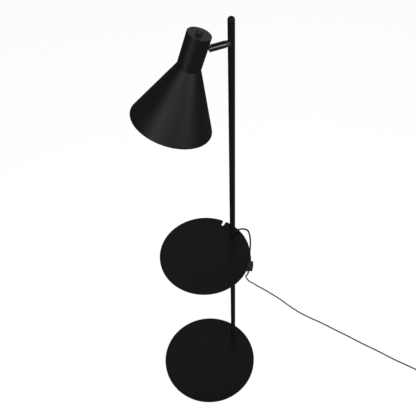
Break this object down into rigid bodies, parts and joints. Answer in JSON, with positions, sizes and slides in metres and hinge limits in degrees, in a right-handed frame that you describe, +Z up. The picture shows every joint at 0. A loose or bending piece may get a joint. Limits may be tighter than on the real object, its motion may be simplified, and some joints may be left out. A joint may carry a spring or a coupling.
{
  "type": "floor lamp",
  "caption": "Black floor lamp with a round base, a tray gripped between two lengths of pole, and a cone shade that tilts on a short arm.",
  "frame": {"origin": "centre of the round base, on the floor", "axes": "+Z up along the pole, -Y to the lamp's front where the shade hangs, the pole stands on +Y"},
  "size_m": [0.7533, 0.8056, 1.4345],
  "materials": {
    "satin_black_paint": "satin",
    "gloss_black": "gloss",
    "felt": "matt",
    "zinc_steel": "satin",
    "brass": "satin",
    "nickel": "polished",
    "nylon": "matt",
    "black_phenolic": "gloss",
    "black_plastic": "satin",
    "black_rubber": "matt",
    "cord_sheath": "satin",
    "wire_sleeve": "satin",
    "frosted_glass": "frosted"
  },
  "bodies": {
    "stand": {"base_disc": "satin_black_paint", "base_pad": "felt", "base_bolt": "zinc_steel", "pole_foot_insert": "zinc_steel", "lower_pole": "satin_black_paint", "pole_top_insert": "zinc_steel", "tray_disc": "satin_black_paint", "pole_coupling": "zinc_steel", "upper_pole": "satin_black_paint", "pole_end_cap": "satin_black_paint", "cord_relief": "black_rubber", "lead_tail": "cord_sheath", "pole_wires": "wire_sleeve", "pole_barrel_nut": "zinc_steel", "arm_nipple": "zinc_steel", "arm_collar": "satin_black_paint", "arm_barrel": "gloss_black", "hinge_pin": "zinc_steel", "friction_washers": "nylon", "mains_cord_upper": "cord_sheath", "cord_switch_front_shell": "black_plastic", "cord_switch_back_shell": "black_plastic", "cord_switch_screws": "zinc_steel", "cord_switch_terminals": "brass", "mains_cord_lower": "cord_sheath", "mains_cord_coil": "cord_sheath", "cord_tie": "black_plastic", "plug_body": "black_plastic", "plug_pins": "nickel"},
    "head": {"knuckle_tongue": "zinc_steel", "knuckle_washer": "zinc_steel", "knuckle_nut": "zinc_steel", "holder_bracket": "zinc_steel", "neck_shell": "satin_black_paint", "neck_cap": "satin_black_paint", "cone_shade": "satin_black_paint", "rotary_switch_body": "black_phenolic", "switch_ring_nut": "zinc_steel", "holder_nipple": "zinc_steel", "nipple_nut": "zinc_steel", "lampholder_dome": "black_phenolic", "lampholder_skirt": "black_phenolic", "lamp_socket_shell": "brass", "centre_contact": "brass", "bulb_cap": "nickel", "bulb_globe": "frosted_glass", "head_wires": "wire_sleeve"},
    "knob": {"switch_shaft": "brass", "switch_knob": "black_plastic"},
    "rocker": {"cord_switch_rocker": "black_plastic"}
  },
  "joints": [
    {"name": "head_tilt", "type": "hinge", "parent": "stand", "child": "head", "pos_m": [-0.01559, 0.07639, 1.3722], "axis": [-0.9318, 0.3577, -0.061], "range_deg": [-12, 42]},
    {"name": "knob_turn", "type": "hinge", "parent": "head", "child": "knob", "pos_m": [-0.02804, 0.04614, 1.38493], "axis": [0.0771, 0.3595, 0.93], "continuous": true},
    {"name": "rocker_press", "type": "hinge", "parent": "stand", "child": "rocker", "pos_m": [0.01922, 0.16988, 0.473], "axis": [0.6908, 0.7208, -0.0573], "range_deg": [0, 14]}
  ]
}
